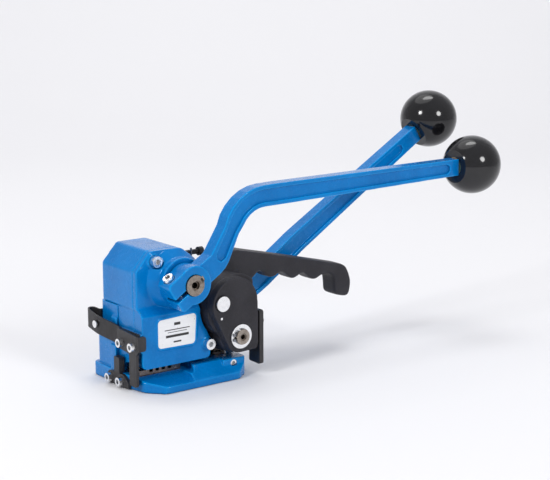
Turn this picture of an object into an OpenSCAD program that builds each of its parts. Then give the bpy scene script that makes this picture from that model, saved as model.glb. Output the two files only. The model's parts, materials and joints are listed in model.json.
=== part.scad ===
// Hand strapping tool for steel strap: a tensioning feed wheel and a sealless crimping head,
// each worked by its own lever. +X runs along the strap, +Y to the back, +Z up.
// The origin is the centre of the base's underside.

/* [Base] */
// Length of the base along the strap
base_l = 95; // [94:0.5:96]
// Width of the base across the strap
base_w = 84; // [83:0.5:86]
// Height of the low deck under the crimping head
deck_low = 10.5; // [10:0.1:11]
// Height of the high deck under the feed wheel
deck_high = 14.5; // [14:0.1:14.5]

/* [Strap] */
// Width of the steel strap that the tool takes
strap_w = 13; // [12.7:0.1:13.2]
// Distance from the middle of the base to the strap's centre line
strap_y = -10; // [-10.2:0.1:-9.8]

/* [Housing] */
// Height of the housing's top above the ground
housing_top = 107; // [106.5:0.5:109]
// Height of the rear column that carries the housing
column_top = 62; // [60:0.5:63]
// Height of the mouth under the front cover
mouth_z = 17.5; // [17:0.5:18.5]

/* [Crank] */
// Diameter of the crank shaft
crank_d = 16; // [15.5:0.1:16]
// Throw of the eccentric
crank_throw = 3.6; // [3.4:0.1:3.6]

/* [Rocker] */
// Diameter of the rocker's pivot pin
pivot_d = 12; // [11:0.5:12]
// Width of the rocker's hand grip
grip_w = 19; // [17:0.5:20]

/* [Feed] */
// Diameter of the knurled feed wheel
wheel_d = 36; // [35.5:0.1:36]
// Diameter of the feed shaft
feed_d = 12; // [11.5:0.1:12]
// Teeth on each ratchet wheel
ratchet_teeth = 12; // [12:1:12]

/* [Levers] */
// Diameter of the ball knobs
knob_d = 50; // [46:1:52]
// Thickness of both lever arms
arm_t = 12; // [11:0.5:12]

/* [Hidden] */
$fn = 48;

blue = "#0f6fc0";
black_paint = "#3c3b40";
black_oxide = "#2c2c2e";
phenolic = "#151518";
steel = "#8d8880";
bright = "#cfd2d4";
bronze = "#a9803f";
spring_steel = "#5d6066";

press = 0;          // radial gap of a pressed or clamped fit
run = 0.05;         // radial gap of a running fit
slip = 0.3;         // gap between flat faces that slide past each other
arc_step = 15;      // largest turn between two points of a rounded corner

// base
left = -base_l / 2;
right = base_l / 2;
front = -base_w / 2;
back = base_w / 2;
edge_h = 5.5;
deck_rear = 8;
deck_step_x = 3;
strap_half = strap_w / 2 + 0.3;

// column and housing, left to right and front to back
column_left = -45;
column_right = 8;
column_front = 6;
column_back = 33;
column_heel = 39.5;
column_ledge = 36;
housing_left = -44.5;
hood_left = -45.4;
housing_right = 8.5;
housing_back = 27;
split_y = -17;
cover_high_y = -22;
cover_low_y = -28;
boss_y = -34;
boss_r = 18.5;
pad_left = -46.3;
pad_low = 31.5;
pad_high = 45;
foot_right = 16;
slot_top = 19.2;

// crank and punch slide
crank_x = -11;
crank_z = 83;
crank_r = crank_d / 2;
eccentric_r = crank_r + crank_throw + 0.9;
eccentric_rest = 120;
eccentric_cx = crank_x + crank_throw * cos(eccentric_rest);
eccentric_cz = crank_z + crank_throw * sin(eccentric_rest);
yoke_left_x = crank_x - crank_throw - 0.2;
yoke_right_x = eccentric_cx + 0.2;
yoke_x = (yoke_left_x + yoke_right_x) / 2;
yoke_r = eccentric_r + slip;
head_r = yoke_r + 3.4;
slide_left = -34;
slide_right = 3.5;
slide_front = strap_y - 6.8;
slide_back = strap_y + 6.8;
slide_low = 30;
slide_shoulder = 84;
bush_r = 10;
key_w = 4;
key_angle = 30;
cover_screw_upper = [-29.5, 99.5];
cover_screw_lower = [14.5, 29.5];
m3_r = 1.5;
m4_r = 2;
m5_r = 2.5;
m6_r = 3;

// punches and dies
tooth_count = 4;
tooth_pitch = 5.6;
tooth_w = 2.6;
tooth_first_x = -31.5;
die_left = -42;
die_right = -4.8;
die_half = 9;
die_low = 7;
blade_left = -4.5;
blade_t = 3;

// rocker and feed
pivot_x = 18;
pivot_z = 63.4;
pivot_r = pivot_d / 2;
lug_r = 12;
lug_front = -12;
lug_back = -2;
cheek_front = -44;
cheek_back = -36;
drum_back = -19;
rear_cheek_front = 0;
rear_cheek_back = 8;
feed_x = 35.3;
feed_z = 35;
feed_r = feed_d / 2;
feed_bush_r = 8;
wheel_r = wheel_d / 2;
wheel_half = 6;
pocket_y = -27;
hold_tip_r = 12.5;
hold_root_r = 10.2;
drive_tip_r = 14.4;
drive_root_r = 11.6;
pawl_pivot_r = 20.5;
hold_pivot_angle = 100;
drive_pivot_angle = 60;
pawl_pin_r = 2;
pawl_eye_r = 4.5;

// tension lever hub
hub_front = 8.6;
hub_wall = 12;
hub_cover_y = 22;
hub_back = 25;
hub_r = 20;
tension_arm_y = 12;
tension_knob_x = 287.5;
tension_knob_z = 180;
tension_bend = [95, 59.6];
tension_mid = [136, 87.6];

// sealing lever
lever_hub_front = -50;
lever_hub_back = -34.4;
lever_hub_r = 15;
sealing_arm_y = -48;
sealing_knob_x = 283;
sealing_knob_z = 146.5;
clamp_angle = 213;
clamp_reach = 19.5;
clamp_half = 11.5;
clamp_high = 14.5;
clamp_screw_reach = 12;
clamp_slot = 3.2;

// knobs
knob_flat_r = 14;
knob_flat = sqrt(pow(knob_d / 2, 2) - pow(knob_flat_r, 2));
insert_r = 8;
insert_l = 24;
tenon_r = 5;
tenon_l = 22;

// ---- helpers -------------------------------------------------------------------------------

function unit(v) = v / norm(v);
function flat(p) = [p[0], p[1]];
function polar(r, a) = [feed_x + r * cos(a), feed_z + r * sin(a)];
function arc(cx, cz, r, a0, a1, n = 12) =
    [for (k = [0:n]) let (a = a0 + (a1 - a0) * k / n) [cx + r * cos(a), cz + r * sin(a)]];

// the points of one corner at b, between a and c, rounded to radius r
function corner(a, b, c, r) =
    r <= 0 ? [b] :
    let (u = unit(a - b), w = unit(c - b), half = acos(u * w) / 2,
         mid = b + unit(u + w) * r / sin(half),
         s = b + u * r / tan(half) - mid, e = b + w * r / tan(half) - mid,
         sweep = 180 - 2 * half, n = ceil(sweep / arc_step))
    [for (k = [0:n]) mid + (s * sin(sweep * (1 - k / n)) + e * sin(sweep * k / n)) / sin(sweep)];

// a closed outline from corners [x, y, radius]
function rounded(v) = let (m = len(v))
    [for (i = [0:m - 1]) each corner(flat(v[(i + m - 1) % m]), flat(v[i]), flat(v[(i + 1) % m]), v[i][2])];

// an open centre line from corners [x, y, radius, width], as points [x, y, width]
function line_path(v) = let (m = len(v))
    [for (i = [0:m - 1]) each (i == 0 || i == m - 1) ? [[v[i][0], v[i][1], v[i][3]]] :
        [for (q = corner(flat(v[i - 1]), flat(v[i]), flat(v[i + 1]), v[i][2])) [q[0], q[1], v[i][3]]]];

function path_side(p, i) =
    let (u = unit(flat(p[min(i + 1, len(p) - 1)]) - flat(p[max(i - 1, 0)]))) [-u[1], u[0]];

// the outline of a bar that follows a centre line
function bar(p) = let (m = len(p))
    concat([for (i = [0:m - 1]) flat(p[i]) + path_side(p, i) * p[i][2] / 2],
           [for (i = [m - 1:-1:0]) flat(p[i]) - path_side(p, i) * p[i][2] / 2]);

// ratchet outline: steep faces look clockwise
function ratchet(root, tip, steep_at) =
    [for (k = [0:ratchet_teeth - 1]) let (a = steep_at + 360 * k / ratchet_teeth)
        each [polar(root, a), polar(tip, a), polar((root + tip) / 2, a + 180 / ratchet_teeth)]];

// pawl outline about the feed axis, its nose against a steep face at face_angle and leaning back
// from it, so that the nose clears the tooth as it lifts
function pawl(root, tip, face_angle, pivot_angle, lift) =
    [polar(tip + 0.8 + lift, face_angle - 24), polar(pawl_pivot_r - 3.2, pivot_angle - 6),
     polar(pawl_pivot_r + 3.2, pivot_angle - 6), polar(pawl_pivot_r + 4, pivot_angle + 5),
     polar(tip + 4 + lift, face_angle - 10), polar(tip + 1.5 + lift, face_angle - 0.8),
     polar(root + 0.5 + lift, face_angle - 4.8)];

module slab_y(y0, y1) translate([0, y1, 0]) rotate([90, 0, 0]) linear_extrude(y1 - y0) children();
module slab_x(x0, x1) translate([x0, 0, 0]) rotate([90, 0, 90]) linear_extrude(x1 - x0) children();
module rod_y(x, z, r, y0, y1) translate([x, y1, z]) rotate([90, 0, 0]) cylinder(r = r, h = y1 - y0);
module rod_x(y, z, r, x0, x1) translate([x0, y, z]) rotate([0, 90, 0]) cylinder(r = r, h = x1 - x0);
module rod_z(x, y, r, z0, z1) translate([x, y, z0]) cylinder(r = r, h = z1 - z0);
module block(x0, x1, y0, y1, z0, z1) translate([x0, y0, z0]) cube([x1 - x0, y1 - y0, z1 - z0]);

// socket head cap screw along +Z, its seat at z = 0
module cap_screw(r, length) {
    head_r = r * 1.7;
    difference() {
        union() {
            cylinder(r = head_r, h = 2 * r);
            translate([0, 0, -length]) cylinder(r = r, h = length + r);
        }
        translate([0, 0, r * 0.8]) cylinder(r = r * 0.95, h = 2 * r, $fn = 6);
    }
}
module screw_front(x, y, z, r, length) translate([x, y, z]) rotate([90, 0, 0]) cap_screw(r, length);
module screw_back(x, y, z, r, length) translate([x, y, z]) rotate([-90, 0, 0]) cap_screw(r, length);
module screw_left(x, y, z, r, length) translate([x, y, z]) rotate([0, -90, 0]) cap_screw(r, length);
module screw_right(x, y, z, r, length) translate([x, y, z]) rotate([0, 90, 0]) cap_screw(r, length);

// grub screw along +Z, its tip at z = 0
module grub_screw(r, length) difference() {
    cylinder(r = r, h = length);
    translate([0, 0, length - r]) cylinder(r = r * 0.55, h = r + 1, $fn = 6);
}

// open retaining ring on a shaft along Y, opening towards -X
module circlip(x, z, r, y0, y1) slab_y(y0, y1) difference() {
    union() {
        translate([x, z]) circle(r = r + 1.2);
        for (s = [-1, 1]) translate([x - r - 1.4, z + s * 1.9]) circle(r = 1.5);
    }
    translate([x, z]) circle(r = r);
    translate([x - r - 3, z - 0.9]) square([r + 3, 1.8]);
}

// ---- base ----------------------------------------------------------------------------------

module base_outline() polygon(rounded([
    [left, -10, 6], [left + 3.5, -29, 6], [left + 15.5, front, 5], [right - 11.5, front, 5],
    [right, front + 9, 5], [right, back, 6], [left, back, 6]]));

module deck(x0, x1, y1, ramp_y, top) intersection() {
    linear_extrude(top) base_outline();
    slab_x(x0, x1) polygon([[front, 0], [front, edge_h], [ramp_y, top], [y1, top], [y1, 0]]);
}

bolt_places = [for (x = [-24, -5], z = [27, 50]) [x, z]];
gripper_r = 7;
gripper_low = 4;
gripper_top = feed_z - wheel_r - 0.4;

module column_outline(y) polygon(rounded([
    [column_left, column_front, 0], [column_right, column_front, 0],
    [column_right, y, 6], [column_left, y, 6]]));

module base_frame() color(blue) difference() {
    union() {
        difference() {
            deck(left, right, back, -20, deck_low);
            block(column_right, right + 1, column_front, back + 1, deck_rear, deck_low + 1);
        }
        difference() {
            deck(-6, right, column_front, -30, deck_high);
            translate([0, 0, deck_low]) linear_extrude(9)
                polygon([[-6.1, front - 1], [-5.5, front - 1], [deck_step_x, -20],
                         [deck_step_x, column_front + 1], [-6.1, column_front + 1]]);
        }
        intersection() {
            linear_extrude(deck_high + 0.5) base_outline();
            block(25, right, -35, -24, 1, deck_high + 0.5);
        }
        linear_extrude(column_top) column_outline(column_back);
        linear_extrude(column_ledge) column_outline(column_heel);
        block(left, column_left + 2, column_front, 14, 5, 30);
        block(pad_left, column_left + 2, column_front, 14, 29, 52);
    }
    block(die_left, die_right, strap_y - die_half, strap_y + die_half, die_low, deck_low + 1);
    for (p = die_screw_places) rod_z(p[0], p[1], m4_r, 1.5, die_low + 1);
    rod_z(feed_x, strap_y, gripper_r, gripper_low, deck_high + 1);
    rod_y(feed_x, 11, m6_r, -36, strap_y - gripper_r + 2);
    for (p = bolt_places) {
        rod_y(p[0], p[1], m6_r, column_front - 1, column_heel + 1);
        rod_y(p[0], p[1], 5.4, 30, column_heel + 1);
    }
    for (y = lower_guide_screw_y) rod_x(y, lower_guide_screw_z, m4_r, left - 1, left + 9);
    rod_y(band_screw[0], band_screw[1], m4_r, column_back - 9, column_back + 1);
}

module gripper_plug() color(steel) difference() {
    rod_z(feed_x, strap_y, gripper_r, gripper_low, gripper_top);
    for (k = [-3:3]) translate([feed_x + 2 * k, strap_y, gripper_top])
        rotate([0, 45, 0]) cube([0.9, 16, 0.9], center = true);
}

module gripper_set_screw() color(bright)
    translate([feed_x, strap_y - gripper_r, 11]) rotate([90, 0, 0])
        grub_screw(m6_r, 17.2);

die_screw_places = [[-38.2, strap_y], [-9, strap_y]];

module die_block() color(steel) difference() {
    block(die_left, die_right, strap_y - die_half, strap_y + die_half, die_low, deck_high);
    for (k = [0:tooth_count - 1]) {
        x = tooth_first_x + k * tooth_pitch;
        block(x - tooth_w / 2 - slip, x + tooth_w / 2 + slip,
              strap_y - die_half - 1, strap_y + die_half + 1, 12.3, deck_high + 1);
    }
    for (p = die_screw_places) {
        rod_z(p[0], p[1], m4_r, die_low - 1, deck_high + 1);
        rod_z(p[0], p[1], m4_r * 1.7, deck_high - 4.4, deck_high + 1);
    }
}

module die_screws() color(bright)
    for (p = die_screw_places) translate([p[0], p[1], deck_high - 4.4]) cap_screw(m4_r, 8);

// ---- housing -------------------------------------------------------------------------------

module upper_outline() polygon(rounded([
    [housing_left, column_top, 0], [hood_left, column_top + 1.5, 0], [hood_left, housing_top - 14.5, 4],
    [hood_left + 13, housing_top, 4], [-5, housing_top, 8], [housing_right, housing_top - 11.5, 6],
    [housing_right, column_top, 0]]));

// slide guide-way, as an outline that also clears the eccentric's head
module slide_way(gap) {
    translate([slide_left - gap, 0]) square([slide_right - slide_left + 2 * gap, slide_shoulder + gap]);
    translate([yoke_x, eccentric_cz]) circle(r = head_r + gap);
}

module main_housing() color(blue) difference() {
    union() {
        slab_y(split_y, housing_back) upper_outline();
        slab_y(split_y, column_front) polygon(rounded([
            [housing_left, mouth_z, 0], [housing_left, column_top + 1, 0], [housing_right, column_top + 1, 0],
            [housing_right, 50, 4], [foot_right, 38, 4], [foot_right, mouth_z, 2]]));
        block(pad_left, housing_left + 1, split_y, 0.5, pad_low, pad_high);
        slab_y(lug_front, lug_back) {
            translate([pivot_x, pivot_z]) circle(r = lug_r);
            polygon([[housing_right - 1, pivot_z - 16], [pivot_x, pivot_z - lug_r],
                     [pivot_x, pivot_z + lug_r], [housing_right - 1, pivot_z + 16]]);
        }
    }
    slab_y(split_y - 1, slide_back + 0.1) slide_way(slip);
    block(housing_left - 3, foot_right + 1, split_y - 1, strap_y + strap_half, mouth_z - 1, slot_top);
    rod_y(crank_x, crank_z, bush_r, slide_back - 1, 18);
    rod_y(crank_x, crank_z, crank_r + 0.5, 17, housing_back + 1);
    for (p = bolt_places) rod_y(p[0], p[1], m6_r, slide_back - 1, column_front + 1);
    rod_y(cover_screw_upper[0], cover_screw_upper[1], m5_r, split_y - 1, -8);
    rod_y(cover_screw_lower[0], cover_screw_lower[1], m5_r, split_y - 1, -8);
    for (p = dowel_places) rod_y(p[0], p[1], m4_r, split_y - 1, -11);
    for (y = upper_guide_screw_y) if (y > split_y)
        rod_x(y, upper_guide_screw_z, m4_r, pad_left - 1, pad_left + 8);
    rod_x(anchor_y, anchor_z, m4_r, housing_right - 7, housing_right + 1);
    rod_y(pivot_x, pivot_z, pivot_r + press, lug_front - 1, lug_back + 1);
    rod_z(pivot_x, lock_y, m5_r, pivot_z - lug_r - 1, pivot_z - pivot_r + 1);
}

dowel_places = [[-39.5, 72], [6, 60]];

module cover_outline_low() polygon(rounded(concat(
    [[housing_left, mouth_z, 4], [housing_left, column_top + 4, 0], [housing_right, column_top + 4, 0]],
    [for (p = arc(36.5, 57, 27.8, 166, 218, 8)) [p[0], p[1], 0]],
    [[foot_right + 1.6, 33.5, 3], [foot_right + 2, mouth_z, 4]])));

module front_cover() color(blue) difference() {
    union() {
        slab_y(cover_high_y, split_y) upper_outline();
        difference() {
            slab_y(cover_low_y, split_y) cover_outline_low();
            slab_x(housing_left - 1, foot_right + 3)
                polygon(rounded([[cover_low_y - 1, column_top + 5, 0], [cover_high_y, column_top + 5, 0],
                                 [cover_high_y, 64, 3], [cover_low_y - 1, 57.5, 0]]));
        }
        block(pad_left, housing_left + 1, cover_low_y, split_y, pad_low, pad_high);
        rod_y(crank_x, crank_z, boss_r, boss_y, split_y);
        intersection() {
            slab_y(boss_y, split_y) upper_outline();
            translate([crank_x, cover_high_y, crank_z]) rotate([90, 0, 0])
                cylinder(r1 = boss_r + 6, r2 = boss_r, h = 7);
        }
        rod_y(cover_screw_upper[0], cover_screw_upper[1], 5.8, cover_high_y - 1, split_y);
        rod_y(cover_screw_lower[0], cover_screw_lower[1], 4.9, cover_low_y - 0.8, split_y);
        slab_y(cover_low_y - 0.7, cover_low_y + 0.5) plate_outline(1.5);
    }
    rod_y(crank_x, crank_z, bush_r, boss_y - 1, split_y + 1);
    slab_y(cover_low_y - 1, cover_low_y + 0.5) plate_outline();
    rod_y(cover_screw_upper[0], cover_screw_upper[1], 5.8, boss_y - 1, cover_high_y - 1);
    rod_y(cover_screw_upper[0], cover_screw_upper[1], m5_r, -30, split_y + 1);
    rod_y(cover_screw_lower[0], cover_screw_lower[1], m5_r, -30, split_y + 1);
    for (p = dowel_places) rod_y(p[0], p[1], m4_r, -20, split_y + 1);
    for (y = upper_guide_screw_y) if (y < split_y)
        rod_x(y, upper_guide_screw_z, m4_r, pad_left - 1, pad_left + 8);
}

module plate_outline(rim = 0) polygon(rounded([
    [-30.5 - rim, 32 - rim, 3 + rim], [-30.5 - rim, 54 + rim, 3 + rim],
    [4.5 + rim, 55.5 + rim, 3 + rim], [3 + rim, 31.5 - rim, 3 + rim]]));

module nameplate() color("#dfe2e4") slab_y(cover_low_y - 0.3, cover_low_y + 0.5) plate_outline();

module housing_bolts() color(bright)
    for (p = bolt_places) screw_back(p[0], 30, p[1], m6_r, 31);

module cover_screws() color(bright) {
    screw_front(cover_screw_upper[0], cover_high_y - 1, cover_screw_upper[1], m5_r, 13);
    screw_front(cover_screw_lower[0], cover_low_y - 0.8, cover_screw_lower[1], m5_r, 19);
}

module cover_dowels() color(steel)
    for (p = dowel_places) rod_y(p[0], p[1], m4_r, -20, -11);

module crank_bush(y0, y1) difference() {
    rod_y(crank_x, crank_z, bush_r, y0, y1);
    rod_y(crank_x, crank_z, crank_r + run, y0 - 1, y1 + 1);
}
module crank_bush_front() color(bronze) crank_bush(boss_y, split_y - 0.2);
module crank_bush_rear() color(bronze) crank_bush(slide_back + 0.4, 16.5);

// ---- strap guides on the left --------------------------------------------------------------

guide_t = 2.2;
band_t = 1.2;
guide_face = pad_left - band_t;
lower_guide_screw_y = [-5.5, 10];
lower_guide_screw_z = 5;
upper_guide_screw_y = [-24, -7];
upper_guide_screw_z = 36;
band_screw = [-37.5, 47.5];
band_h = 14;
band_rise = 12;
rivet_y = 25;
rivet_z = 44.5;
band_path = [[-46.9, -2, 0, band_t], [-47, 4, 8, band_t], [-52.6, 24, 30, band_t], [-52.6, 39.6, 3.4, band_t],
             [-46.8, 39.6, 3, band_t], [-44.5, column_back + band_t / 2, 2, band_t],
             [-33, column_back + band_t / 2, 0, band_t]];

module lower_guide_bracket() color(black_oxide) difference() {
    union() {
        slab_x(left - guide_t, left) polygon(rounded([
            [-15, 0.6, 2], [-15, 6, 3], [-8, 10.4, 3], [8, 10.4, 3], [15, 9, 3], [15, 0.6, 2]]));
        block(left - guide_t, left, -3.5, 4, 8, 23);
        block(left - 3, left + 1.8, -3.5, 4, deck_low + 0.2, 23);
    }
    for (y = lower_guide_screw_y) rod_x(y, lower_guide_screw_z, m4_r, left - 4, left + 1);
}

module upper_guide_bracket() color(black_oxide) difference() {
    union() {
        slab_x(guide_face - guide_t, guide_face) polygon(rounded([
            [cover_low_y - guide_t, 33, 0], [-27, 30, 2], [-27, 4.5, 2], [-17, 4.5, 2], [-17, 29.5, 2],
            [0, 31, 3], [0, 46.5, 2], [cover_low_y - guide_t, 44.5, 0]]));
        slab_y(cover_low_y - guide_t, cover_low_y) polygon(rounded([
            [guide_face - guide_t, 33, 0], [-42.5, 33, 2],
            [-42.5, 44.5, 2], [guide_face - guide_t, 44.5, 0]]));
    }
    for (y = upper_guide_screw_y) rod_x(y, upper_guide_screw_z, m4_r, guide_face - 4, guide_face + 1);
}

module guide_spring_band() color(black_oxide) difference() {
    union() {
        block(pad_left - band_t, pad_left, cover_low_y + 0.5, 1, 32, 46);
        intersection() {
            translate([0, 0, 20]) linear_extrude(50) polygon(bar(line_path(band_path)));
            translate([0, 0, 39]) rotate([band_rise, 0, 0])
                block(-60, -20, -4, 60, -band_h / 2, band_h / 2);
        }
    }
    for (y = upper_guide_screw_y) rod_x(y, upper_guide_screw_z, m4_r, pad_left - 3, pad_left + 1);
    rod_y(band_screw[0], band_screw[1], m4_r, column_back - 1, column_back + 3);
    rod_x(rivet_y, rivet_z, 1.5, -58, -48);
}

module guide_rivet() color(bright) union() {
    rod_x(rivet_y, rivet_z, 1.45, -54.8, -50.8);
    rod_x(rivet_y, rivet_z, 2.9, -54.8, -53.7);
}

module guide_screws() color(bright) {
    for (y = lower_guide_screw_y) screw_left(left - guide_t, y, lower_guide_screw_z, m4_r, 8);
    for (y = upper_guide_screw_y) screw_left(guide_face - guide_t, y, upper_guide_screw_z, m4_r, 9);
    screw_back(band_screw[0], column_back + 1.2, band_screw[1], m4_r, 8);
}

// ---- rocker pivot --------------------------------------------------------------------------

lock_y = -7;
anchor_y = -10.6;
anchor_z = 99;
anchor_head_x = 18.5;
coil_r = 7.4;
coil_wire = 0.8;
coil_front = drum_back + 0.4 + coil_wire;
coil_back = lug_front - 0.3 - coil_wire;
coil_turns = 2;

module rocker_pivot_pin() color(bright) difference() {
    rod_y(pivot_x, pivot_z, pivot_r, cheek_front - 2, rear_cheek_back + 0.2);
    rod_z(pivot_x, lock_y, m5_r, pivot_z - pivot_r - 1, pivot_z - pivot_r + 1);
}

module pivot_lock_screw() color(steel)
    translate([pivot_x, lock_y, pivot_z - pivot_r + 1]) rotate([180, 0, 0]) grub_screw(m5_r, 6.6);

// torsion spring: a tang in the drum, the coil, then a straight leg up to the anchor screw
function spring_line() = concat(
    [[pivot_x + coil_r, coil_front - 3, pivot_z], [pivot_x + coil_r, coil_front - 1, pivot_z]],
    [for (k = [0:coil_turns * 20 + 10]) let (a = k * 18)
        [pivot_x + coil_r * cos(a), coil_front + (coil_back - coil_front) * k / (coil_turns * 20 + 10),
         pivot_z - coil_r * sin(a)]],
    [[pivot_x - coil_r, coil_back, pivot_z + 2], [pivot_x - coil_r, coil_back, anchor_z + 4]]);

module tube_along(p, r, sides = 8) {
    m = len(p);
    function dir(i) = unit(p[min(i + 1, m - 1)] - p[max(i - 1, 0)]);
    function side_of(u) = unit(cross(u, abs(u[1]) > 0.9 ? [1, 0, 0] : [0, 1, 0]));
    ring = [for (i = [0:m - 1]) let (u = dir(i), s = side_of(u), t = cross(u, s))
        for (k = [0:sides - 1]) p[i] + r * (s * cos(360 * k / sides) + t * sin(360 * k / sides))];
    walls = [for (i = [0:m - 2], k = [0:sides - 1])
        [i * sides + k, i * sides + (k + 1) % sides, (i + 1) * sides + (k + 1) % sides, (i + 1) * sides + k]];
    polyhedron(ring, concat([[for (k = [sides - 1:-1:0]) k]], walls,
                            [[for (k = [0:sides - 1]) (m - 1) * sides + k]]));
}

module rocker_spring() color(spring_steel) tube_along(spring_line(), coil_wire);

module spring_anchor_screw() color(bright)
    screw_right(anchor_head_x, anchor_y, anchor_z, m4_r, anchor_head_x - housing_right + 7);

// ---- sealing lever and crank ---------------------------------------------------------------

sealing_path = line_path([
    [crank_x, crank_z, 0, 18.4], [12.5, 97.7, 14, 17.5], [25, 120.5, 0, 14.6], [37.5, 143.4, 32, 16.8],
    [70, 143.9, 0, 17], [sealing_knob_x - knob_flat, sealing_knob_z, 0, 14]]);

sealing_groove = line_path([
    [13, 98.6, 0, 4.5], [15, 102.2, 0, 9.3], [25, 120.5, 0, 8.2], [37.5, 143.4, 32, 10],
    [70, 143.9, 0, 10.4], [249, 146.1, 0, 8], [252, 146.15, 0, 4]]);

module at_clamp() translate([crank_x, 0, crank_z]) rotate([0, -clamp_angle, 0]) children();

module lever_hub_outline() translate([crank_x, crank_z]) {
    circle(r = lever_hub_r);
    rotate(clamp_angle) polygon(rounded([[-2, -clamp_high, 0], [clamp_reach, -clamp_high, 4],
                                         [clamp_reach, clamp_half, 3], [2, clamp_half, 0]]));
}

module sealing_lever() color(blue) difference() {
    union() {
        slab_y(lever_hub_front, lever_hub_back) lever_hub_outline();
        slab_y(sealing_arm_y, sealing_arm_y + arm_t) polygon(bar(sealing_path));
        rod_x(sealing_arm_y + arm_t / 2, sealing_knob_z, tenon_r,
              sealing_knob_x - knob_flat - 1, sealing_knob_x - knob_flat + tenon_l);
    }
    rod_y(crank_x, crank_z, crank_r + press, lever_hub_front - 1, lever_hub_back + 1);
    at_clamp() {
        block(crank_r - 3, clamp_reach + 1, lever_hub_front - 1, lever_hub_back + 1,
              -clamp_slot / 2, clamp_slot / 2);
        translate([clamp_screw_reach, (lever_hub_front + lever_hub_back) / 2, 0]) rotate([180, 0, 0]) {
            translate([0, 0, -clamp_half - 1]) cylinder(r = m5_r, h = clamp_half + clamp_high + 2);
            translate([0, 0, clamp_high - 2.5]) cylinder(r = m5_r * 1.75, h = 4);
        }
    }
    crank_keyway();
    for (y = [sealing_arm_y - 1, sealing_arm_y + arm_t - 2.5]) slab_y(y, y + 3.5)
        polygon(bar(sealing_groove));
}

module crank_keyway() translate([crank_x, 0, crank_z]) rotate([0, -key_angle, 0])
    block(crank_r - 2, crank_r + 1.6, lever_hub_front - 1, lever_hub_back - 1.6, -key_w / 2, key_w / 2);

module crank_key() color(steel) translate([crank_x, 0, crank_z]) rotate([0, -key_angle, 0])
    block(crank_r - 2, crank_r + 1.6, lever_hub_front + 0.5, lever_hub_back - 1.6, -key_w / 2, key_w / 2);

module clamp_screw() color(bright) at_clamp()
    translate([clamp_screw_reach, (lever_hub_front + lever_hub_back) / 2, 0]) rotate([180, 0, 0])
        translate([0, 0, clamp_high - 2.5]) cap_screw(m5_r, clamp_half + clamp_high - 3.5);

// ball knob with a flat face, its axis along +X and its centre at the origin
module ball_knob() difference() {
    rotate([0, 90, 0]) rotate_extrude($fn = 96) intersection() {
        circle(d = knob_d, $fn = 96);
        translate([0, -knob_flat]) square([knob_d, knob_d]);
    }
    translate([-knob_flat - 1, 0, 0]) rotate([0, 90, 0]) cylinder(r = insert_r, h = insert_l + 1);
}
module ball_insert() difference() {
    translate([-knob_flat, 0, 0]) rotate([0, 90, 0]) cylinder(r = insert_r, h = insert_l);
    translate([-knob_flat - 1, 0, 0]) rotate([0, 90, 0]) cylinder(r = tenon_r, h = tenon_l + 1);
}
module at_sealing_knob()
    translate([sealing_knob_x, sealing_arm_y + arm_t / 2, sealing_knob_z]) children();

module sealing_knob() color(phenolic) at_sealing_knob() ball_knob();
module sealing_knob_insert() color(bronze) at_sealing_knob() ball_insert();

module crank_shaft() color(steel) difference() {
    union() {
        rod_y(crank_x, crank_z, crank_r, lever_hub_front - 1, housing_back + 4);
        rod_y(eccentric_cx, eccentric_cz, eccentric_r, slide_front + 0.3, slide_back - 0.3);
    }
    crank_keyway();
    rod_y(crank_x, crank_z, 2.5, lever_hub_front - 2, lever_hub_front + 12);
    rod_y(crank_x, crank_z, 3.6, lever_hub_front - 2, lever_hub_front + 0.6);
    difference() {
        rod_y(crank_x, crank_z, crank_r + 1, housing_back + 1.6, housing_back + 2.7);
        rod_y(crank_x, crank_z, crank_r - 0.8, housing_back + 1, housing_back + 3);
    }
}

module crank_washer() color(bright) difference() {
    rod_y(crank_x, crank_z, 13, housing_back + 0.1, housing_back + 1.5);
    rod_y(crank_x, crank_z, crank_r, housing_back - 1, housing_back + 2);
}
module crank_circlip() color(spring_steel)
    circlip(crank_x, crank_z, crank_r - 0.8, housing_back + 1.6, housing_back + 2.7);

// ---- punch slide ---------------------------------------------------------------------------

blade_right = blade_left + blade_t;
tenon_low = slide_low;
tenon_top = slide_low + 6;
punch_pin_x = [-27, -11];

module punch_slide() color(steel) difference() {
    union() {
        slab_y(slide_front, slide_back) intersection() {
            slide_way(0);
            translate([-60, slide_low]) square([90, 90]);
        }
        block(blade_right, slide_right, slide_front, slide_back, 22, slide_low + 1);
    }
    slab_y(slide_front - 1, slide_back + 1) {
        for (x = [yoke_left_x, yoke_right_x]) translate([x, eccentric_cz]) circle(r = yoke_r);
        translate([yoke_left_x, eccentric_cz - yoke_r]) square([yoke_right_x - yoke_left_x, 2 * yoke_r]);
    }
    block(slide_left - 1, blade_left - 0.1, strap_y - 2.5, strap_y + 2.5, tenon_low - 1, tenon_top);
    for (x = punch_pin_x) rod_y(x, slide_low + 3, m4_r, slide_front - 1, slide_back + 1);
    rod_x(strap_y, 26, m4_r, blade_right - 1, slide_right + 1);
    rod_x(strap_y, 26, m4_r * 1.8, slide_right - 4, slide_right + 1);
    slab_y(slide_front - 1, slide_back + 1)
        polygon(rounded([[-26, 42, 3], [-26, 62, 3], [-6, 62, 3], [-6, 42, 3]]));
}

module punch_block() color("#a7a39a") difference() {
    union() {
        block(slide_left, blade_left - 0.1, slide_front, slide_back, 22.5, slide_low);
        block(slide_left, blade_left - 0.1, strap_y - 2.5, strap_y + 2.5, slide_low - 1, tenon_top);
        for (k = [0:tooth_count - 1]) {
            x = tooth_first_x + k * tooth_pitch;
            block(x - tooth_w / 2, x + tooth_w / 2, slide_front, slide_back, slot_top, 23);
        }
    }
    for (x = punch_pin_x) rod_y(x, slide_low + 3, m4_r, slide_front - 1, slide_back + 1);
}

module punch_pins() color(bright)
    for (x = punch_pin_x) rod_y(x, slide_low + 3, m4_r, slide_front, slide_back);

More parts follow.
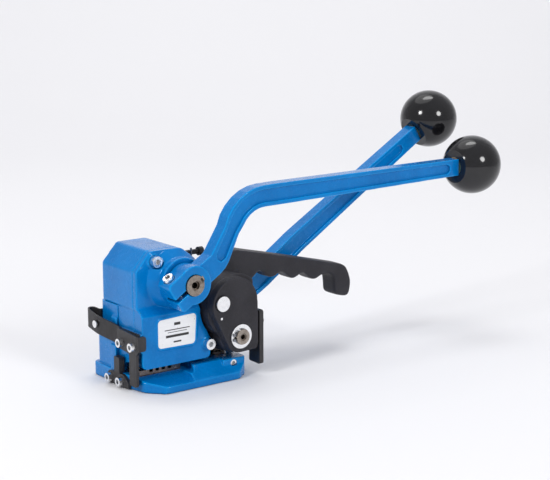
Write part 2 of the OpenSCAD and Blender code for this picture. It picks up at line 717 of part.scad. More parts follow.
module cutter_blade() color(bright) difference() {
    slab_y(slide_front, slide_back) polygon([
        [blade_left, slot_top], [blade_left + 1, slot_top], [blade_right, slot_top + 2],
        [blade_right, slide_low], [blade_left, slide_low]]);
    rod_x(strap_y, 26, m4_r, blade_left - 1, blade_right + 1);
}

module cutter_screw() color(bright)
    screw_right(slide_right - 4, strap_y, 26, m4_r, slide_right - 4 - blade_left);

// ---- rocker --------------------------------------------------------------------------------

grip_front = drum_back + 1;
grip_back = grip_front + grip_w;
drum_x = 36;
drum_z = 57;
drum_r = 26;
groove_pitch = 22;
groove_depth = 5.4;
groove_first = 85.8;
groove_z = 69.2;
groove_fall = 0.178;
guide_pad_right = 53.6;
guide_screw_y = [-38, -25];
guide_screw_z = 43;

// underside of the hand grip: a falling wave, one hollow for each finger
function grip_under(x) = groove_z - groove_fall * (x - groove_first)
    + groove_depth * (1 - cos(360 * (x - groove_first) / groove_pitch)) / 2;

module grip_outline() polygon(concat(
    rounded([[31.5, 56, 2], [31.5, 80, 6], [43, 98.8, 14], [84.9, 89.4, 60], [143, 75.2, 0],
             [164.5, 69.8, 10], [170.3, 55, 12], [167.4, 41.6, 4], [152.4, 45.4, 3.5],
             [151.2, grip_under(142), 7], [142, grip_under(142), 0]]),
    [for (x = [141.4:-2.2:73]) [x, grip_under(x)]],
    [[69, 73.6], [63.5, 69.6], [57, 63.5], [53, 56]]));

module cheek_outline() polygon(concat(
    arc(31, 61, 21.2, 0, 190, 24),
    rounded([[10.1, 57.3, 0], [11.6, 53, 4], [26, 24.5, 6], [33, 21.6, 8], [52.2, 22.6, 3], [52.2, 61, 0]])));

module drum_outline() polygon(concat(
    arc(drum_x, drum_z, drum_r, 49, 235, 24), [[feed_x, feed_z - 4], [guide_pad_right, 28],
                                               [guide_pad_right, 50]]));

module rear_cheek_outline() {
    translate([pivot_x, pivot_z]) circle(r = 9);
    translate([feed_x, feed_z]) circle(r = 14);
    polygon([[pivot_x, pivot_z + 9], [33, 80], [52, 84], [55, 62], [49.5, 30], [25, 26], [11, 57.7]]);
}

module rocker_frame() color(black_paint) difference() {
    union() {
        slab_y(cheek_front, cheek_back) cheek_outline();
        slab_y(cheek_back - 0.5, drum_back) drum_outline();
        rod_y(feed_x, feed_z, 14.5, cheek_back - 0.5, -24);
        rod_y(feed_x, feed_z, 15.8, -25, drum_back);
        slab_y(grip_front, grip_back) grip_outline();
        slab_y(drum_back - 0.5, rear_cheek_front + 0.5)
            polygon([[31.5, 56], [31.5, 78], [53, 80], [53, 56]]);
        slab_y(rear_cheek_front, rear_cheek_back) rear_cheek_outline();
        block(48, guide_pad_right, -43, drum_back, 26, 52);
    }
    rod_y(pivot_x, pivot_z, pivot_r + run, cheek_front - 1, rear_cheek_back + 1);
    rod_y(feed_x, feed_z, feed_bush_r, cheek_front - 1, pocket_y + 1);
    rod_y(feed_x, feed_z, feed_bush_r, rear_cheek_front - 1, rear_cheek_back + 1);
    rod_y(feed_x, feed_z, hold_tip_r + 0.9, pocket_y, drum_back + 1);
    slab_y(pocket_y, drum_back + 1) polygon([
        polar(11, 80), polar(26.6, 82), polar(28.4, 104), polar(26, 122), polar(23.2, 138),
        polar(19, 152), polar(12, 154)]);
    rod_y(feed_x, feed_z, wheel_r + 1.2, drum_back, rear_cheek_front);
    let (p = polar(pawl_pivot_r, hold_pivot_angle)) rod_y(p[0], p[1], pawl_pin_r, pocket_y - 5, pocket_y + 1);
    rod_y(peg_x, peg_z, peg_r, cheek_front - 1, pocket_y - 1);
    for (y = guide_screw_y) rod_x(y, guide_screw_z, m3_r, guide_pad_right - 5, guide_pad_right + 1);
    rod_y(pivot_x + coil_r, pivot_z, coil_wire + 0.1, coil_front - 3.6, drum_back + 1);
}

peg_x = 17.4;
peg_z = 51.5;
peg_r = 1;
module spring_peg() color(bright) rod_y(peg_x, peg_z, peg_r, cheek_front - 0.2, pocket_y - 1);

module feed_bush(y0, y1) difference() {
    rod_y(feed_x, feed_z, feed_bush_r, y0, y1);
    rod_y(feed_x, feed_z, feed_r + run, y0 - 1, y1 + 1);
}
module feed_bush_front() color(bronze) feed_bush(cheek_front, pocket_y);
module feed_bush_rear() color(bronze) feed_bush(rear_cheek_front, rear_cheek_back);

plate_t = 1.9;
module guide_plate_outline() polygon(rounded([
    [cheek_front, 9, 1.5], [cheek_front, 52.5, 2], [-6, 52.5, 4], [4, 42, 4], [4, 9, 1.5],
    [-1, 9, 1.5], [-1, 24, 3], [-30, 24, 3], [-30, 9.5, 1.5]]));
module guide_sheet(x0) difference() {
    slab_x(x0, x0 + plate_t) guide_plate_outline();
    for (y = guide_screw_y) rod_x(y, guide_screw_z, m3_r, x0 - 1, x0 + plate_t + 1);
}
module strap_guide_plate() color(black_oxide) guide_sheet(guide_pad_right + plate_t);
module strap_guide_backing() color(black_oxide) guide_sheet(guide_pad_right);
module strap_guide_screws() color(black_oxide)
    for (y = guide_screw_y) screw_right(guide_pad_right + 2 * plate_t, y, guide_screw_z, m3_r, 8);

module holding_pawl_pin() color(steel)
    let (p = polar(pawl_pivot_r, hold_pivot_angle)) rod_y(p[0], p[1], pawl_pin_r, pocket_y - 5, -19.6);

// ---- feed ----------------------------------------------------------------------------------

hold_front = pocket_y + 0.5;
hold_back = -20;
drive_front = hub_wall + 0.6;
drive_back = hub_cover_y - 0.6;
ring_groove = 0.8;
front_ring = cheek_front - 2.5;
rear_ring = hub_back + 0.4;
feed_key_w = 4;

module feed_keyway(y0, y1) block(feed_x - feed_key_w / 2, feed_x + feed_key_w / 2, y0, y1,
                                 feed_z + feed_r - 2.2, feed_z + feed_r + 1.6);

module ring_cut(y0, y1) difference() {
    rod_y(feed_x, feed_z, feed_r + 1, y0, y1);
    rod_y(feed_x, feed_z, feed_r - ring_groove, y0 - 1, y1 + 1);
}

module feed_shaft() color(steel) difference() {
    rod_y(feed_x, feed_z, feed_r, cheek_front - 3.6, hub_back + 3);
    feed_keyway(hold_front, strap_y + wheel_half);
    feed_keyway(drive_front, drive_back);
    ring_cut(front_ring, front_ring + 1.1);
    ring_cut(rear_ring, rear_ring + 1.1);
    rod_y(feed_x, feed_z, 2, cheek_front - 6, cheek_front + 4);
    rod_y(feed_x, feed_z, 2.9, cheek_front - 6, cheek_front - 3);
}

module feed_key() color(steel) {
    feed_keyway(hold_front, strap_y + wheel_half);
    feed_keyway(drive_front, drive_back);
}

wheel_teeth = 44;
module feed_wheel() color("#77736c") difference() {
    union() {
        slab_y(strap_y - wheel_half, strap_y + wheel_half) polygon([for (k = [0:2 * wheel_teeth - 1])
            polar(wheel_r - (k % 2) * 0.8, 180 * k / wheel_teeth)]);
        rod_y(feed_x, feed_z, 9, strap_y + wheel_half - 1, -0.4);
        rod_y(feed_x, feed_z, 9, -18.6, strap_y - wheel_half + 1);
    }
    rod_y(feed_x, feed_z, feed_r + press, -30, 1);
    feed_keyway(-30, strap_y + wheel_half);
}

module holding_ratchet() color(steel) difference() {
    union() {
        slab_y(hold_front, hold_back) polygon(ratchet(hold_root_r, hold_tip_r, 138));
        rod_y(feed_x, feed_z, 8.6, hold_back - 1, -18.7);
    }
    rod_y(feed_x, feed_z, feed_r + press, -30, -10);
    feed_keyway(-30, -10);
}

module drive_ratchet() color(steel) difference() {
    slab_y(drive_front, drive_back) polygon(ratchet(drive_root_r, drive_tip_r, 98));
    rod_y(feed_x, feed_z, feed_r + press, hub_wall, hub_cover_y);
    feed_keyway(hub_wall, hub_cover_y);
}

module feed_washer() color("#e6e6e4") difference() {
    rod_y(feed_x, feed_z, 9.6, cheek_front - 1.3, cheek_front - 0.1);
    rod_y(feed_x, feed_z, feed_r, cheek_front - 2, cheek_front + 1);
}

module feed_circlips() color(spring_steel) {
    circlip(feed_x, feed_z, feed_r - ring_groove, front_ring, front_ring + 1.1);
    circlip(feed_x, feed_z, feed_r - ring_groove, rear_ring, rear_ring + 1.1);
}

// ---- tension lever -------------------------------------------------------------------------

tension_dir = atan2(tension_knob_z - tension_mid[1], tension_knob_x - tension_mid[0]);
tension_end = [tension_knob_x - knob_flat * cos(tension_dir), tension_knob_z - knob_flat * sin(tension_dir)];
tension_path = line_path([
    [feed_x, feed_z, 0, 26], [70, 47.5, 0, 20], [tension_bend[0], tension_bend[1], 70, 18.5],
    [tension_mid[0], tension_mid[1], 60, 18], [tension_end[0], tension_end[1], 0, 14]]);
tension_groove = line_path([
    [79, 51.8, 0, 6], [82.5, 53.5, 0, 11.6], [tension_bend[0], tension_bend[1], 70, 12],
    [tension_mid[0], tension_mid[1], 60, 11.5], [249, 156.5, 0, 8], [251.6, 158.1, 0, 4]]);
cover_screw_spots = [for (a = [15, 140, 265]) polar(17.6, a)];

module hub_outline(gap = 0) {
    translate([feed_x, feed_z]) circle(r = hub_r + gap);
    polygon([polar(0, 0), polar(19.9 + gap, 20), polar(29.5 + gap, 42), polar(31 + gap, 50),
             polar(31.2 + gap, 60), polar(30 + gap, 70), polar(27.5 + gap, 84),
             polar(25 + gap, 98), polar(22.5 + gap, 112), polar(19.9 + gap, 128)]);
}
module pawl_chamber() {
    translate([feed_x, feed_z]) circle(r = drive_tip_r + 1);
    polygon([polar(14, 44), polar(26.6, 48), polar(27.4, 62), polar(25, 80), polar(22, 96),
             polar(20, 106), polar(14, 112)]);
}
module tension_arm(y0, y1) slab_y(y0, y1) polygon(bar(tension_path));

module tension_lever() color(blue) difference() {
    union() {
        slab_y(hub_front, hub_cover_y) hub_outline();
        difference() {
            tension_arm(tension_arm_y, tension_arm_y + arm_t);
            slab_y(hub_cover_y, hub_back + 1) hub_outline(0.3);
        }
        translate([tension_end[0], tension_arm_y + arm_t / 2, tension_end[1]]) rotate([0, -tension_dir, 0])
            rod_x(0, 0, tenon_r, -1, tenon_l);
    }
    slab_y(hub_wall, hub_back) pawl_chamber();
    rod_y(feed_x, feed_z, feed_r + run, hub_front - 1, hub_wall + 1);
    let (p = polar(pawl_pivot_r, drive_pivot_angle))
        rod_y(p[0], p[1], pawl_pin_r, hub_front + 1, hub_wall + 1);
    for (p = cover_screw_spots) rod_y(p[0], p[1], 1.5, hub_wall + 1, hub_cover_y + 1);
    for (y = [tension_arm_y - 1, tension_arm_y + arm_t - 2.5]) slab_y(y, y + 3.5)
        polygon(bar(tension_groove));
}

module hub_cover() color(blue) difference() {
    slab_y(hub_cover_y, hub_back) hub_outline();
    rod_y(feed_x, feed_z, feed_r + run, hub_cover_y - 1, hub_back + 1);
    let (p = polar(pawl_pivot_r, drive_pivot_angle))
        rod_y(p[0], p[1], pawl_pin_r, hub_cover_y - 1, hub_back + 1);
    for (p = cover_screw_spots) rod_y(p[0], p[1], 1.5, hub_cover_y - 1, hub_back + 1);
}
module hub_cover_screws() color(bright)
    for (p = cover_screw_spots) screw_back(p[0], hub_back, p[1], 1.5, 11);

module drive_pawl_pin() color(steel)
    let (p = polar(pawl_pivot_r, drive_pivot_angle)) rod_y(p[0], p[1], pawl_pin_r, hub_front + 1, hub_back);

module at_tension_knob() translate([tension_knob_x, tension_arm_y + arm_t / 2, tension_knob_z])
    rotate([0, -tension_dir, 0]) children();
module tension_knob() color(phenolic) at_tension_knob() ball_knob();
module tension_knob_insert() color(bronze) at_tension_knob() ball_insert();

// ---- pawls ---------------------------------------------------------------------------------

hold_lift = hold_tip_r - hold_root_r;

module pawl_body(y0, y1, root, tip, face, pivot, lift) difference() {
    p = polar(pawl_pivot_r, pivot);
    slab_y(y0, y1) {
        translate(p) circle(r = pawl_eye_r);
        polygon(pawl(root, tip, face, pivot, lift));
    }
    rod_y(p[0], p[1], pawl_pin_r + run, y0 - 1, y1 + 1);
}
module drive_pawl() color("#9a958c")
    pawl_body(drive_front, drive_back, drive_root_r, drive_tip_r, 98, drive_pivot_angle, 0);
module holding_pawl() color("#9a958c")
    pawl_body(hold_front, hold_back + 0.4, hold_root_r, hold_tip_r, 138, hold_pivot_angle, hold_lift);

leaf_t = 0.5;
module leaf(y0, y1, a, b, c) {
    ends = [[a[0], a[1], 0, leaf_t], [b[0], b[1], 2, leaf_t], [c[0], c[1], 0, leaf_t]];
    slab_y(y0, y1) polygon(bar(line_path(ends)));
}
module drive_pawl_spring() color(spring_steel)
    leaf(drive_front + 1.5, drive_back - 1.5, polar(26, 68), polar(23.6, 79), polar(19, 89));
module holding_pawl_spring() color(spring_steel)
    leaf(hold_front + 1, hold_back - 1, polar(26, 107), polar(24, 120), polar(20, 131));

base_frame();
main_housing();
front_cover();
nameplate();
housing_bolts();
cover_screws();
cover_dowels();
crank_bush_front();
crank_bush_rear();
gripper_plug();
gripper_set_screw();
die_block();
die_screws();
lower_guide_bracket();
upper_guide_bracket();
guide_spring_band();
guide_rivet();
guide_screws();
rocker_pivot_pin();
pivot_lock_screw();
rocker_spring();
spring_anchor_screw();
sealing_lever();
sealing_knob();
sealing_knob_insert();
clamp_screw();
crank_shaft();
crank_key();
crank_washer();
crank_circlip();
punch_slide();
punch_block();
punch_pins();
cutter_blade();
cutter_screw();
rocker_frame();
feed_bush_front();
feed_bush_rear();
strap_guide_plate();
strap_guide_backing();
strap_guide_screws();
holding_pawl_pin();
spring_peg();
feed_shaft();
feed_wheel();
feed_key();
holding_ratchet();
drive_ratchet();
feed_washer();
feed_circlips();
tension_lever();
tension_knob();
tension_knob_insert();
drive_pawl_pin();
hub_cover();
hub_cover_screws();
drive_pawl();
drive_pawl_spring();
holding_pawl();
holding_pawl_spring();
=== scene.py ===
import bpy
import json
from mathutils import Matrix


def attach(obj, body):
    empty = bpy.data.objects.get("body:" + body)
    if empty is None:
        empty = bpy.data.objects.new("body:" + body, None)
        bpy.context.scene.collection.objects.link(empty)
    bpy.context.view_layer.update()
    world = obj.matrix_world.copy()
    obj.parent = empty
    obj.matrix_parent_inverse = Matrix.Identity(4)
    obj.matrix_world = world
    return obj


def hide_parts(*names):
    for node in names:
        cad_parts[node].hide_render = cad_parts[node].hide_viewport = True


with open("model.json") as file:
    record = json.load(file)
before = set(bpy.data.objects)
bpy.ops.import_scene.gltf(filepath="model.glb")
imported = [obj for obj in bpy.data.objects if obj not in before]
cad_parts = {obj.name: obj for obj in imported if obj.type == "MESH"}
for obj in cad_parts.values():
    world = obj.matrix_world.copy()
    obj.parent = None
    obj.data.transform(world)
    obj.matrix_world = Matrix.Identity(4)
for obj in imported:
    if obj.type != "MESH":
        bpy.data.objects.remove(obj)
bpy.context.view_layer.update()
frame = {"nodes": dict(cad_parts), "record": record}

import bpy, bmesh, json, math
from mathutils import Vector, Matrix

NODES = frame["nodes"]
BODY_OF = {node: body for body, names in frame["record"]["behaviour"]["bodies"].items() for node in names}
SLOT_OF = {subpart["node"]: subpart["material_slot"] for subpart in frame["record"]["subparts"]}
MM = 0.001

# ---- materials -----------------------------------------------------------------------------
# Colours are linear. A noise scale is in waves per metre. A ramp's stops are (place on the input, value).

class Tree:
    """A node material built call by call, with the principled shader ready."""

    CREVICE_RAYS = 8

    def __init__(self, name):
        self.material = bpy.data.materials.new(name)
        self.material.use_nodes = True
        self.tree = self.material.node_tree
        self.shader = self.tree.nodes["Principled BSDF"]
        self.place = self.tree.nodes.new("ShaderNodeTexCoord").outputs["Object"]
        self.normal = None

    def set(self, **values):
        for key, value in values.items():
            self.shader.inputs[key.replace("_", " ")].default_value = value

    def link(self, start, end):
        self.tree.links.new(start, end)

    def mapping(self, scale):
        node = self.tree.nodes.new("ShaderNodeMapping")
        node.inputs["Scale"].default_value = scale
        self.link(self.place, node.inputs["Vector"])
        return node.outputs["Vector"]

    def noise(self, scale, detail, rough=0.55, vector=None, distortion=0.0):
        node = self.tree.nodes.new("ShaderNodeTexNoise")
        node.inputs["Scale"].default_value = scale
        node.inputs["Detail"].default_value = detail
        node.inputs["Roughness"].default_value = rough
        node.inputs["Distortion"].default_value = distortion
        self.link(vector or self.place, node.inputs["Vector"])
        return node.outputs["Fac"]

    def ramp(self, factor, stops):
        node = self.tree.nodes.new("ShaderNodeValToRGB")
        elements = node.color_ramp.elements
        elements[0].position, elements[0].color = stops[0][0], self.rgba(stops[0][1])
        elements[1].position, elements[1].color = stops[-1][0], self.rgba(stops[-1][1])
        for position, value in stops[1:-1]:
            elements.new(position).color = self.rgba(value)
        self.link(factor, node.inputs["Fac"])
        return node.outputs["Color"]

    @staticmethod
    def rgba(value):
        return (value, value, value, 1.0) if isinstance(value, float) else (*value, 1.0)

    def mix(self, factor, first, second):
        node = self.tree.nodes.new("ShaderNodeMix")
        node.data_type = "RGBA"
        self.link(factor, node.inputs["Factor"])
        for value, key in ((first, "A"), (second, "B")):
            socket = [s for s in node.inputs if s.name == key and s.type == "RGBA"][0]
            if isinstance(value, tuple):
                socket.default_value = self.rgba(value)
            else:
                self.link(value, socket)
        return [s for s in node.outputs if s.type == "RGBA"][0]

    def pointiness(self):
        return self.tree.nodes.new("ShaderNodeNewGeometry").outputs["Pointiness"]

    def crevice(self, distance):
        node = self.tree.nodes.new("ShaderNodeAmbientOcclusion")
        node.inputs["Distance"].default_value = distance
        node.samples = self.CREVICE_RAYS
        return node.outputs["AO"]

    def bump(self, height, strength, distance):
        """Bumps of this height map over whatever bumps are there already."""
        node = self.tree.nodes.new("ShaderNodeBump")
        node.inputs["Strength"].default_value = strength
        node.inputs["Distance"].default_value = distance
        self.link(height, node.inputs["Height"])
        if self.normal:
            self.link(self.normal, node.inputs["Normal"])
        self.normal = node.outputs["Normal"]
        self.link(self.normal, self.shader.inputs["Normal"])

    def color(self, value):
        self.link(value, self.shader.inputs["Base Color"])

    def rough(self, value):
        self.link(value, self.shader.inputs["Roughness"])


def shade(color, *factors):
    """A colour times one factor, or times one factor for each channel, and never over white."""
    if len(factors) == 1:
        factors = factors * 3
    return tuple(min(1.0, channel * factor) for channel, factor in zip(color, factors))


def enamel(name, deep, mid, light):
    """Sprayed enamel over a casting: orange peel, slow undulation, a painted highlight of lighter blue on
    sharp edges, painted shade of darker blue in corners.
    """
    look = Tree(name)
    look.set(Metallic=0.0, Specular_IOR_Level=0.33, Specular_Tint=(0.15, 0.6, 1.0, 1.0))
    look.set(Coat_Weight=0.25, Coat_Roughness=0.04)
    clouds = look.ramp(look.noise(38.0, 3.0), [(0.3, 0.0), (0.7, 1.0)])
    # Lighter blue on sharp edges is a painted highlight.
    enamel_painted_highlight = look.ramp(look.pointiness(), [(0.5, 0.0), (0.56, 0.55), (0.62, 0.8)])
    # Darker blue in corners and crevices, found by occlusion, is painted shade.
    enamel_painted_shade = look.ramp(look.crevice(6 * MM), [(0.15, 1.0), (0.75, 0.0)])
    paint = look.mix(enamel_painted_highlight, look.mix(clouds, deep, mid), light)
    look.color(look.mix(enamel_painted_shade, paint, shade(deep, 0.45, 0.45, 0.5)))
    look.rough(look.ramp(look.noise(210.0, 4.0), [(0.3, 0.17), (0.7, 0.33)]))
    look.bump(look.noise(95.0, 2.0), 0.35, 0.6 * MM)
    look.bump(look.noise(520.0, 2.0), 0.16, 0.3 * MM)
    return look.material


def powder(name, dark, light):
    """Matt black textured powder coat over a casting."""
    look = Tree(name)
    look.set(Metallic=0.0, Specular_IOR_Level=0.3)
    clouds = look.ramp(look.noise(60.0, 5.0), [(0.3, 0.0), (0.7, 1.0)])
    # Lighter black on sharp edges is a painted highlight.
    powder_painted_highlight = look.ramp(look.pointiness(), [(0.5, 0.0), (0.6, 0.75)])
    look.color(look.mix(powder_painted_highlight, look.mix(clouds, dark, light), shade(light, 1.9)))
    look.rough(look.ramp(look.noise(700.0, 3.0), [(0.3, 0.42), (0.7, 0.62)]))
    look.bump(look.noise(120.0, 3.0), 0.3, 0.5 * MM)
    look.bump(look.noise(1100.0, 3.0, 0.6), 0.55, 0.35 * MM)
    return look.material


def phenolic(name, dark, light):
    """Glossy phenolic with a faint mould flow, tiny scratches and finger marks."""
    look = Tree(name)
    look.set(Metallic=0.0, Specular_IOR_Level=0.45, Coat_Weight=0.2, Coat_Roughness=0.04)
    flow = look.ramp(look.noise(25.0, 4.0), [(0.35, 0.0), (0.7, 1.0)])
    finger_marks = look.noise(70.0, 6.0, 0.65, distortion=0.6)
    look.color(look.mix(flow, dark, light))
    look.rough(look.ramp(finger_marks, [(0.35, 0.08), (0.72, 0.2)]))
    look.bump(look.noise(28.0, 2.0), 0.12, 0.6 * MM)
    look.bump(look.noise(900.0, 4.0, 0.7), 0.03, 0.2 * MM)
    return look.material


def metal(name, dark, light, rough, grain, bump, stain=None, metallic=1.0):
    """Bare or plated metal with tool marks along the grain, stains, painted shade in corners and a painted
    highlight on edges.
    """
    smoother, rougher, least = 0.08, 0.12, 0.04
    look = Tree(name)
    look.set(Metallic=metallic)
    marks = look.noise(1.0, 5.0, 0.65, vector=look.mapping(grain))
    base = look.mix(look.ramp(marks, [(0.32, 0.0), (0.68, 1.0)]), dark, light)
    if stain:
        spots = look.noise(140.0, 6.0, 0.65, distortion=0.8)
        base = look.mix(look.ramp(spots, [(0.5, 0.0), (0.68, 0.75)]), base, stain)
    # Lighter metal on sharp edges is a painted highlight.
    metal_painted_highlight = look.ramp(look.pointiness(), [(0.52, 0.0), (0.62, 0.5)])
    base = look.mix(metal_painted_highlight, base, shade(light, 1.35))
    # Darker metal in corners and crevices, found by occlusion, is painted shade.
    metal_painted_shade = look.ramp(look.crevice(2 * MM), [(0.1, 0.8), (0.7, 0.0)])
    look.color(look.mix(metal_painted_shade, base, shade(dark, 0.3)))
    patches = look.noise(260.0, 5.0, 0.6)
    look.rough(look.ramp(patches, [(0.3, max(least, rough - smoother)), (0.7, rough + rougher)]))
    look.bump(marks, bump, 0.12 * MM)
    return look.material


MATERIALS = {
    "blue_enamel": enamel(
        # The light colour here is the lighter blue of the painted edge highlight.
        "blue_enamel", deep=(0.0, 0.15, 0.46), mid=(0.0, 0.195, 0.56), light=(0.0, 0.38, 0.85)),
    "black_casting": powder(
        "black_casting", dark=(0.017, 0.0165, 0.021), light=(0.028, 0.027, 0.033)),
    "black_oxide": metal(
        "black_oxide", dark=(0.02, 0.02, 0.022), light=(0.045, 0.044, 0.046), rough=0.4,
        grain=(420.0, 420.0, 120.0), bump=0.2, stain=(0.035, 0.028, 0.024), metallic=0.55),
    "phenolic": phenolic(
        "phenolic", dark=(0.004, 0.004, 0.005), light=(0.012, 0.012, 0.014)),
    "ground_steel": metal(
        "ground_steel", dark=(0.16, 0.135, 0.115), light=(0.34, 0.3, 0.26), rough=0.3,
        grain=(500.0, 200.0, 500.0), bump=0.2, stain=(0.13, 0.09, 0.07)),
    "zinc_steel": metal(
        "zinc_steel", dark=(0.62, 0.63, 0.65), light=(0.86, 0.87, 0.88), rough=0.2,
        grain=(350.0, 350.0, 350.0), bump=0.1),
    "bronze": metal(
        "bronze", dark=(0.4, 0.25, 0.1), light=(0.62, 0.42, 0.2), rough=0.34,
        grain=(600.0, 600.0, 600.0), bump=0.2, stain=(0.2, 0.11, 0.05)),
    "spring_steel": metal(
        "spring_steel", dark=(0.1, 0.1, 0.11), light=(0.24, 0.25, 0.27), rough=0.28,
        grain=(300.0, 300.0, 900.0), bump=0.1),
    "nameplate_silver": metal(
        "nameplate_silver", dark=(0.74, 0.75, 0.77), light=(0.86, 0.87, 0.88), rough=0.34,
        grain=(60.0, 900.0, 900.0), bump=0.15, metallic=0.55),
    "tool_steel": metal(
        "tool_steel", dark=(0.085, 0.07, 0.06), light=(0.24, 0.2, 0.175), rough=0.3,
        grain=(200.0, 700.0, 700.0), bump=0.25, stain=(0.07, 0.045, 0.035)),
}

for node, ob in NODES.items():
    ob.data.materials.clear()
    ob.data.materials.append(MATERIALS[SLOT_OF[node]])


def piece(name, mesh, node, slot=None, smooth=True):
    """A new piece that rides with a CAD node's body, in the node's slot unless another is named."""
    slot = slot or SLOT_OF[node]
    ob = bpy.data.objects.new(name, mesh)
    bpy.context.scene.collection.objects.link(ob)
    mesh.materials.clear()
    mesh.materials.append(MATERIALS[slot])
    for face in mesh.polygons:
        face.use_smooth = smooth
    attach(ob, BODY_OF[node])
    return ob


# ---- castings with soft edges --------------------------------------------------------------

# node: (voxel in millimetres, smoothing passes, share of the faces that is kept)
CASTINGS = {
    "base_frame": (0.6, 6, 0.4),
    "main_housing": (0.6, 9, 0.4),
    "front_cover": (0.5, 7, 0.4),
    "sealing_lever": (0.55, 4, 0.5),
    "tension_lever": (0.55, 4, 0.5),
    "hub_cover": (0.5, 4, 0.5),
    "rocker_frame": (0.6, 11, 0.4),
}
# node: (where its hand-held stretch starts, in millimetres along X, and how many more smoothing passes)
HELD = {"rocker_frame": (62.0, 130)}
FADE = 12.0
WELD = 0.001 * MM
SMOOTHING = 0.5


def baked(ob):
    """The object's mesh as its modifiers leave it."""
    return bpy.data.meshes.new_from_object(ob.evaluated_get(bpy.context.evaluated_depsgraph_get()))


def smoothed(ob, passes):
    modifier = ob.modifiers.new("smooth", "SMOOTH")
    modifier.factor = SMOOTHING
    modifier.iterations = passes
    return modifier


def soften(ob, start, passes):
    """More smoothing past a place along X, faded in over the first millimetres."""
    mesh = baked(ob)
    ob.modifiers.clear()
    ob.data = mesh
    group = ob.vertex_groups.new(name="held")
    for vertex in mesh.vertices:
        weight = (vertex.co.x / MM - start) / FADE
        if weight > 0.0:
            group.add([vertex.index], min(1.0, weight), "REPLACE")
    smoothed(ob, passes).vertex_group = group.name


def casting(node, voxel, passes, keep):
    """The CAD shape as it comes out of a sand mould: every edge a little rounded, hand-held parts more."""
    welded = NODES[node].data.copy()
    bm = bmesh.new()
    bm.from_mesh(welded)
    bmesh.ops.remove_doubles(bm, verts=bm.verts, dist=WELD)
    bm.to_mesh(welded)
    bm.free()
    draft = bpy.data.objects.new(node + "_draft", welded)
    bpy.context.scene.collection.objects.link(draft)
    remesh = draft.modifiers.new("remesh", "REMESH")
    remesh.mode = "VOXEL"
    remesh.voxel_size = voxel * MM
    smoothed(draft, passes)
    if node in HELD:
        soften(draft, *HELD[node])
    draft.modifiers.new("decimate", "DECIMATE").ratio = keep
    mesh = baked(draft)
    bpy.data.objects.remove(draft)
    mesh.name = node + "_cast"
    ob = piece(node + "_cast", mesh, node)
    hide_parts(node)


for node, (voxel, passes, keep) in CASTINGS.items():
    casting(node, voxel, passes, keep)


# ---- plain ruling printed on the plate -----------------------------------------------------

INK = 0.06 * MM
# (height up the plate, width, thickness), all as shares of the plate's size
RULES = ((0.76, 0.16, 0.09), (0.58, 0.66, 0.03), (0.5, 0.5, 0.02), (0.37, 0.6, 0.08), (0.17, 0.2, 0.05))


def ruling(node):
    """Centred bars across a plate that faces the front."""
    corners = [NODES[node].matrix_world @ vertex.co for vertex in NODES[node].data.vertices]
    left, right = min(corner.x for corner in corners), max(corner.x for corner in corners)
    bottom, top = min(corner.z for corner in corners), max(corner.z for corner in corners)
    front = min(corner.y for corner in corners)
    bm = bmesh.new()
    for up, wide, thick in RULES:
        size = Vector(((right - left) * wide, INK, (top - bottom) * thick))
        middle = Vector(((left + right) / 2, front - INK / 2, bottom + (top - bottom) * up))
        bmesh.ops.create_cube(bm, size=1.0, matrix=Matrix.LocRotScale(middle, None, size))
    mesh = bpy.data.meshes.new(node + "_ruling")
    bm.to_mesh(mesh)
    bm.free()
    piece(node + "_ruling", mesh, node, "black_oxide", smooth=False)


ruling("nameplate")


# ---- floor, light and camera ---------------------------------------------------------------
# Lengths are in metres and angles in degrees.

CAMERA_PLACE = (-0.6259, -0.9559, 0.3423)
CAMERA_TILT = 78.4
CAMERA_TURN = -37.3
LENS = 98.18
SENSOR_WIDTH = 36.0

PAPER = (0.86, 0.86, 0.875, 1.0)
PAPER_HALF_WIDTH = 5.0
PAPER_FRONT = -3.0
PAPER_TOP = 4.0
PAPER_GAP = 0.4 * MM
BEND_START = 1.2
BEND_RADIUS = 1.2
BEND_STEP = 10
QUARTER_TURN = 90

# name: (place, aim, width of the disc, watts)
LIGHTS = {
    "key": ((-1.75, -0.3, 1.25), (0.05, 0.0, 0.06), 0.55, 17.5),
    "fill": ((0.35, -1.95, 1.05), (0.05, 0.0, 0.08), 0.65, 15.0),
    "top": ((0.1, 0.6, 2.1), (0.05, 0.0, 0.0), 1.9, 8.0),
    "wall": ((0.5, 0.45, 2.5), (1.4, 1.9, 0.7), 1.2, 16.0),
}
AIR = (0.97, 0.965, 1.0, 1.0)
AIR_STRENGTH = 0.5


def paper():
    look = Tree("backdrop")
    look.set(Base_Color=PAPER, Roughness=0.7, Specular_IOR_Level=0.2)
    return look.material


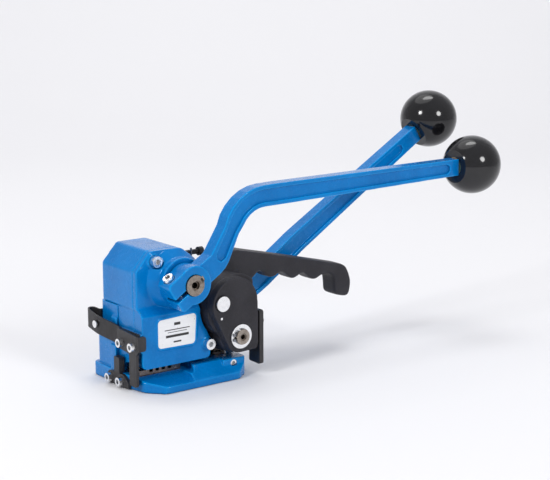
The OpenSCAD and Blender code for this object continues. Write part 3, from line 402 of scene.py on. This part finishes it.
def backdrop():
    """A pale sweep of paper, square to the camera: a flat floor that curves up into a wall far behind."""
    profile = [(PAPER_FRONT, 0.0), (BEND_START, 0.0)]
    for angle in range(BEND_STEP, QUARTER_TURN + 1, BEND_STEP):
        along = BEND_START + BEND_RADIUS * math.sin(math.radians(angle))
        profile.append((along, BEND_RADIUS - BEND_RADIUS * math.cos(math.radians(angle))))
    profile.append((BEND_START + BEND_RADIUS, PAPER_TOP))
    turn = Matrix.Rotation(math.radians(CAMERA_TURN), 3, "Z")
    bm = bmesh.new()
    left, right = [
        [bm.verts.new(turn @ Vector((x, y, z - PAPER_GAP))) for y, z in profile]
        for x in (-PAPER_HALF_WIDTH, PAPER_HALF_WIDTH)]
    for k in range(len(profile) - 1):
        bm.faces.new((left[k], right[k], right[k + 1], left[k + 1]))
    mesh = bpy.data.meshes.new("backdrop")
    bm.to_mesh(mesh)
    bm.free()
    for face in mesh.polygons:
        face.use_smooth = True
    mesh.materials.append(paper())
    ob = bpy.data.objects.new("backdrop", mesh)
    bpy.context.scene.collection.objects.link(ob)


def area(name, place, aim, width, watts):
    light = bpy.data.lights.new(name, "AREA")
    light.shape = "DISK"
    light.size = width
    light.energy = watts
    ob = bpy.data.objects.new(name, light)
    ob.location = place
    ob.rotation_euler = (Vector(aim) - Vector(place)).to_track_quat("-Z", "Y").to_euler()
    bpy.context.scene.collection.objects.link(ob)


def air():
    world = bpy.data.worlds.new("world")
    world.use_nodes = True
    background = world.node_tree.nodes["Background"]
    background.inputs["Color"].default_value = AIR
    background.inputs["Strength"].default_value = AIR_STRENGTH
    bpy.context.scene.world = world


def camera():
    data = bpy.data.cameras.new("camera")
    data.lens = LENS
    data.sensor_width = SENSOR_WIDTH
    ob = bpy.data.objects.new("camera", data)
    ob.location = CAMERA_PLACE
    ob.rotation_euler = (math.radians(CAMERA_TILT), 0.0, math.radians(CAMERA_TURN))
    bpy.context.scene.collection.objects.link(ob)
    bpy.context.scene.camera = ob


backdrop()
for name, values in LIGHTS.items():
    area(name, *values)
air()
camera()
bpy.context.scene.view_settings.view_transform = "Standard"
